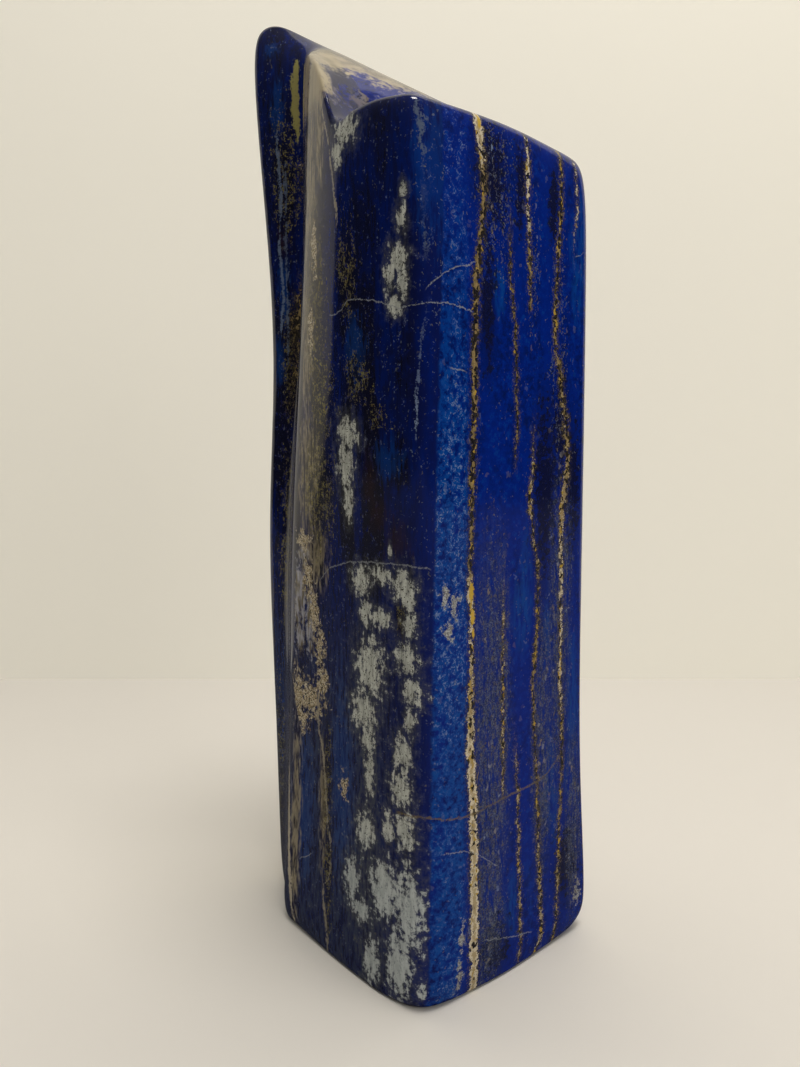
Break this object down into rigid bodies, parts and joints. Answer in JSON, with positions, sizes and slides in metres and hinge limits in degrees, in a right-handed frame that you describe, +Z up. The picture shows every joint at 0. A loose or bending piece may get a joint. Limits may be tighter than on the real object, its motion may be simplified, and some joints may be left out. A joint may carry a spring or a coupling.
{
  "type": "lapis lazuli freeform",
  "caption": "Tall polished freeform of deep blue lapis lazuli with a slanting, hollowed head, standing upright on its flat foot as a display stone.",
  "frame": {"origin": "middle of the stone's width and depth, on the flat foot that it rests on", "axes": "+Z up from the foot, +X to the right and +Y away from someone who faces the front edge"},
  "size_m": [0.1108, 0.0937, 0.2987],
  "materials": {
    "polished_lapis": "high polish, blue with calcite and pyrite veins"
  },
  "bodies": {
    "root": {"lapis_stone": "polished_lapis"}
  },
  "joints": []
}
